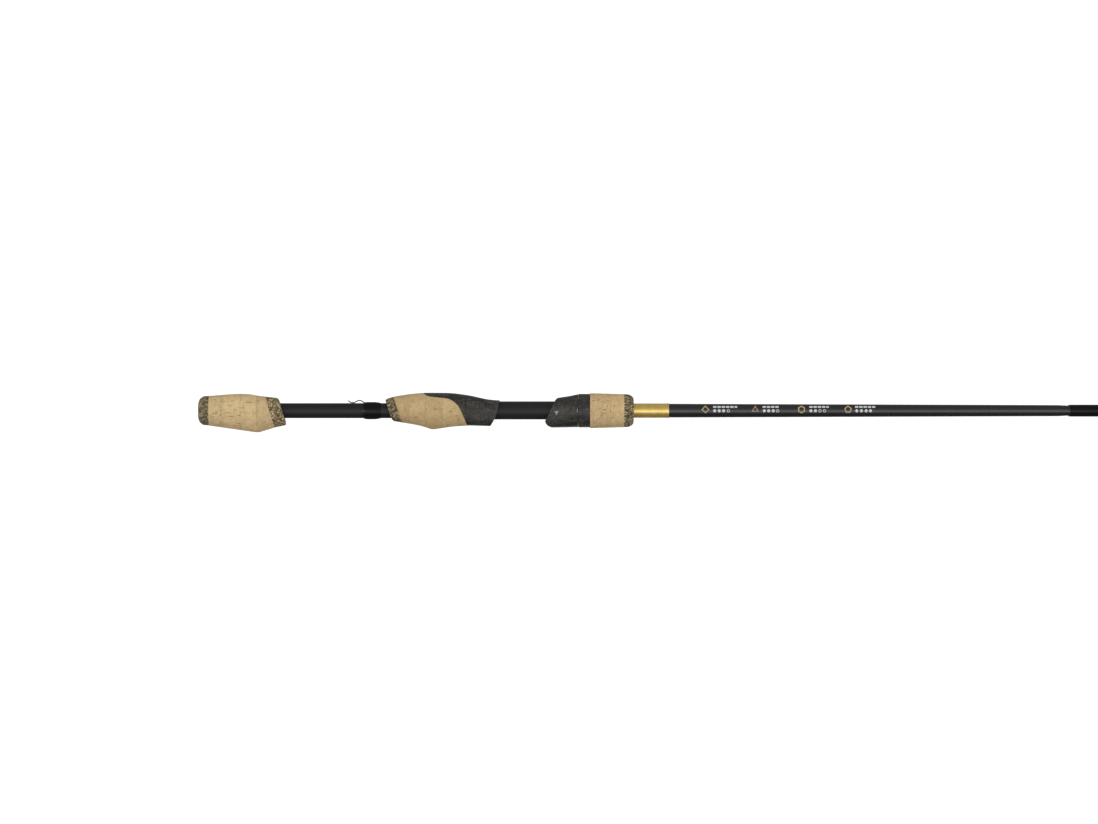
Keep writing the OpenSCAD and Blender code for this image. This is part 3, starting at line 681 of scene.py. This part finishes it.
def cork_grip(node, marks, count, seed, seams=()):
    """A cork grip with the cracks that are seen in front and others strewn all round."""
    skin = Skin(node)
    level = crack_depths(skin, marks + scattered_cracks(skin, count, seed, seams), seed)
    pores = np.array([max(0.0, noise.noise(Vector(p) * 900) - 0.15) for p in skin.points])
    depths = (level * CRACK_DEPTH + pores * PORE_DEPTH * skin.shown()) * MM
    return skin.piece(depths, crack=level)


def rubber_grip(node):
    """A rubberised cork piece: granules stand a little proud of the rubber between them."""
    skin = Skin(node, GRANULE_STEP)
    gaps = np.empty(len(skin.points))
    for i, p in enumerate(skin.points):
        near = noise.voronoi(Vector(p) * GRANULES)[0]
        gaps[i] = max(0.0, 1 - (near[1] - near[0]) / 0.25)
    return skin.piece(gaps * skin.shown() * GRANULE_GAP_DEPTH * MM)


def make_grips():
    rubber_grip("butt_cap")
    front = math.pi  # the angle that faces -Y
    butt_marks = [
        (26.0, front - 0.62, 4.2, 0.62, True),
        (38.5, front - 0.5, 5.0, 0.69, True),
        (33.5, front - 0.16, 4.4, 0.56, True),
        (24.0, front - 0.3, 3.6, 0.62, True),
        (22.0, front + 0.12, 5.4, 0.5, True),
        (31.0, front + 0.3, 3.4, 0.75, True),
        (25.0, front + 0.36, 6.0, 0.56, True),
        (14.0, front + 0.1, 2.4, 0.62, True),
        (28.0, front - 0.05, 3.8, 0.5, True),
    ]
    cork_grip("butt_cork", butt_marks, 46, 11, seams=(17.3, 32.0, 44.5))
    rubber_grip("butt_collar")
    rubber_grip("rear_collar")
    rear_marks = [
        (178.0, front - 0.08, 2.8, 0.69, True),
        (189.5, front + 0.06, 1.6, 1.12, True),
        (193.5, front + 0.36, 2.2, 0.75, True),
        (163.5, front + 0.42, 3.6, 0.62, True),
        (155.0, front - 0.1, 0.9, 0.75, True),
    ]
    cork_grip("rear_cork", rear_marks, 34, 23, seams=(171.0,))
    fore_marks = [
        (304.0, front - 0.55, 2.2, 0.62, True),
        (312.0, front - 0.3, 1.6, 0.62, True),
        (309.0, front + 0.05, 1.0, 0.88, True),
        (316.5, front + 0.2, 1.4, 0.88, True),
    ]
    cork_grip("fore_cork", fore_marks, 60, 37, seams=(306.4,))
    rubber_grip("fore_cap")


# ---------------------------------------------------------------- the hook keeper
KEEPER_ROUTE = [(112.7, 7.4), (114, 6.35), (115.6, 6.06), (117.2, 6.2), (119, 7.2), (121, 7.75)]
KEEPER_ROUTE += [(122.8, 7.1), (124.6, 6.06), (127, 6.05), (131, 6.05)]
KEEPER_RADIUS = 0.4


def smooth_route(points, cuts=8):
    """A Catmull-Rom curve through the points."""
    points = [Vector(p) for p in points]
    ends = [points[0] * 2 - points[1]] + points + [points[-1] * 2 - points[-2]]
    made = []
    for a, b, c, d in zip(ends, ends[1:], ends[2:], ends[3:]):
        for i in range(cuts):
            t = i / cuts
            square = (a * 2 - b * 5 + c * 4 - d) * t**2
            cube = (b * 3 - a - c * 3 + d) * t**3
            made.append((b * 2 + (c - a) * t + square + cube) / 2)
    return made + [points[-1]]


def wire(points, radius, sides=20):
    """A round wire along points in the XZ plane, with rounded ends. Returns points and faces."""
    across = Vector((0, 1, 0))
    rings = []
    for i, p in enumerate(points):
        ahead = (points[min(i + 1, len(points) - 1)] - points[max(i - 1, 0)]).normalized()
        rings.append((p, ahead, radius))
    start, finish = rings[0], rings[-1]
    for lean in (math.radians(a) for a in (22, 44, 66, 84)):
        reach, small = radius * math.sin(lean), radius * math.cos(lean)
        rings.insert(0, (start[0] - start[1] * reach, start[1], small))
        rings.append((finish[0] + finish[1] * reach, finish[1], small))
    made = []
    for p, ahead, r in rings:
        up = ahead.cross(across).normalized()
        for angle in (j * TAU / sides for j in range(sides)):
            made.append(p + (across * math.cos(angle) + up * math.sin(angle)) * r)
    faces = ring_faces(len(rings), sides, False)
    faces.append(tuple(range(sides))[::-1])
    faces.append(tuple(range(len(made) - sides, len(made))))
    return made, faces


def make_keeper():
    route = smooth_route([(x * MM, 0, z * MM) for x, z in KEEPER_ROUTE])
    points, faces = wire(route, KEEPER_RADIUS * MM)
    stand_in("hook_keeper", points, faces)


# ---------------------------------------------------------------- plain printed marks, and a painted highlight on the hood
INK_LIFT = 0.02
# The X of a shape, its corners, the first and last X of the dashes, the X of the dots, how many are filled
GROUPS = [
    (380.2, 4, (386.0, 404.0), (387.1, 390.5, 393.8, 397.4), 3),
    (417.5, 3, (423.0, 437.0), (424.3, 427.6, 431.0, 434.3), 3),
    (452.2, 6, (458.0, 472.7), (459.2, 462.6, 466.0, 469.4), 2),
    (487.1, 5, (492.3, 507.5), (493.6, 497.1, 500.6, 503.9), 4),
]
SHAPE_Z, SHAPE_RADIUS, SHAPE_HOLE = 0.9, 3.0, 0.66
DASH_Z, DASH_HEIGHT, DASH_LENGTH, DASH_GAP = 2.8, 1.3, 2.5, 0.7
DOT_Z, DOT_RADIUS, DOT_HOLE = -0.1, 1.15, 0.62
ARROW_X, ARROW_Z, ARROW_RADIUS = 268.6, -1.3, 2.0
PAINTED_GLINT_X, PAINTED_GLINT_HEIGHT = (284.0, 284.4), 3.0  # a painted highlight: a light line on the hood beside the locking nut, standing in for the seam's lip catching the light
FILLED = 0.02  # the share of a filled shape that stays open, at its very middle


def ink_patch(tree, outline, hole, steps=4):
    """A film of ink laid on a surface, from an outline in (X, Z) mm. hole is the share left open."""
    centre = np.mean(outline, axis=0)
    layers = []
    for lift in (INK_LIFT, -INK_LIFT):
        for share in np.linspace(1, hole, steps):
            ring = []
            for x, z in centre + (np.array(outline) - centre) * share:
                place, normal, _, _ = tree.ray_cast(Vector((x * MM, -FAR, z * MM)), Vector((0, 1, 0)))
                ring.append(place + normal * lift * MM)
            layers.append(ring)
    top, bottom = layers[:steps], layers[steps:]
    loop = top + bottom[::-1]
    points = [p for ring in loop for p in ring]
    return points, ring_faces(len(loop), len(outline), True)


def edged(tips, cuts):
    """The outline through corner points, with each side cut into short lengths."""
    tips = [np.array(tip) for tip in tips]
    return [a + (b - a) * i / cuts for a, b in zip(tips, tips[1:] + tips[:1]) for i in range(cuts)]


def polygon(x, z, radius, corners, cuts=1, turn=math.pi / 2):
    """A regular polygon's outline."""
    angles = [turn + k * TAU / corners for k in range(corners)]
    return edged([(x + radius * math.cos(a), z + radius * math.sin(a)) for a in angles], cuts)


def bar(x0, x1, z, height, cuts=4):
    """A rectangle's outline."""
    low, high = z - height / 2, z + height / 2
    return edged([(x0, low), (x1, low), (x1, high), (x0, high)], cuts)


def print_piece(name, tree, films, ink, body, slot):
    """Joins several films of ink into one piece."""
    points, faces = [], []
    for outline, hole in films:
        more, quads = ink_patch(tree, outline, hole)
        faces += [tuple(v + len(points) for v in quad) for quad in quads]
        points += more
    piece = new_piece(name, points, faces, slot, body)
    piece.data.materials[0] = ink


def make_marks(blank, hood):
    blank_tree = surface(blank)
    gold_ink = print_look("ink_gold", (0.52, 0.38, 0.2))
    white_ink = print_look("ink_white", (0.7, 0.7, 0.7))
    shapes = [(polygon(x, SHAPE_Z, SHAPE_RADIUS, corners, 8), SHAPE_HOLE) for x, corners, _, _, _ in GROUPS]
    print_piece("printed_shapes", blank_tree, shapes, gold_ink, "handle", "blank")
    white = []
    for _, _, (x0, x1), dots, filled in GROUPS:
        x = x0
        while x + DASH_LENGTH * 0.5 < x1:
            white.append((bar(x, min(x + DASH_LENGTH, x1), DASH_Z, DASH_HEIGHT), FILLED))
            x += DASH_LENGTH + DASH_GAP
        for number, dot in enumerate(dots):
            hole = FILLED if number < filled else DOT_HOLE
            white.append((polygon(dot, DOT_Z, DOT_RADIUS, 24), hole))
    print_piece("printed_dashes_and_dots", blank_tree, white, white_ink, "handle", "blank")
    arrow_and_glint = [(polygon(ARROW_X, ARROW_Z, ARROW_RADIUS, 3, 6, turn=-math.pi / 2), FILLED)]
    # Painted highlight: a light bar beside the nut seam, painted in the grey ink where the hood's lip
    # catches the light.
    arrow_and_glint.append((bar(*PAINTED_GLINT_X, 0, PAINTED_GLINT_HEIGHT, 8), FILLED))
    grey_ink_and_glint = print_look("ink_grey_and_painted_glint", (0.3, 0.3, 0.31))
    print_piece("hood_arrow_and_painted_glint", surface(hood), arrow_and_glint, grey_ink_and_glint, "hood", "marbled_composite")


# ---------------------------------------------------------------- the whole rod
HIDDEN_NODES = ("rear_arbor", "front_arbor", "nut_insert")
TURNED_NODES = ("butt_blank", "mid_blank", "tip_blank", "gold_sleeve", "sleeve_ring")
GRIP_NODES = ("butt_cap", "butt_cork", "butt_collar", "rear_collar", "rear_cork", "fore_cork", "fore_cap")

make_camera()
looks = make_looks()
make_studio()
make_floor()
make_grips()
make_keeper()
pieces = {}
for node in sorted(frame["nodes"]):
    if node in HIDDEN_NODES:
        frame["nodes"][node].data.materials[0] = looks[slot_of(node)]
    elif node in TURNED_NODES:
        pieces[node] = turned(node)
    elif node not in GRIP_NODES and node != "hook_keeper":
        pieces[node] = welded(node)
matt_behind_seat(pieces["butt_blank"])
make_marks(pieces["butt_blank"], pieces["sliding_hood"])
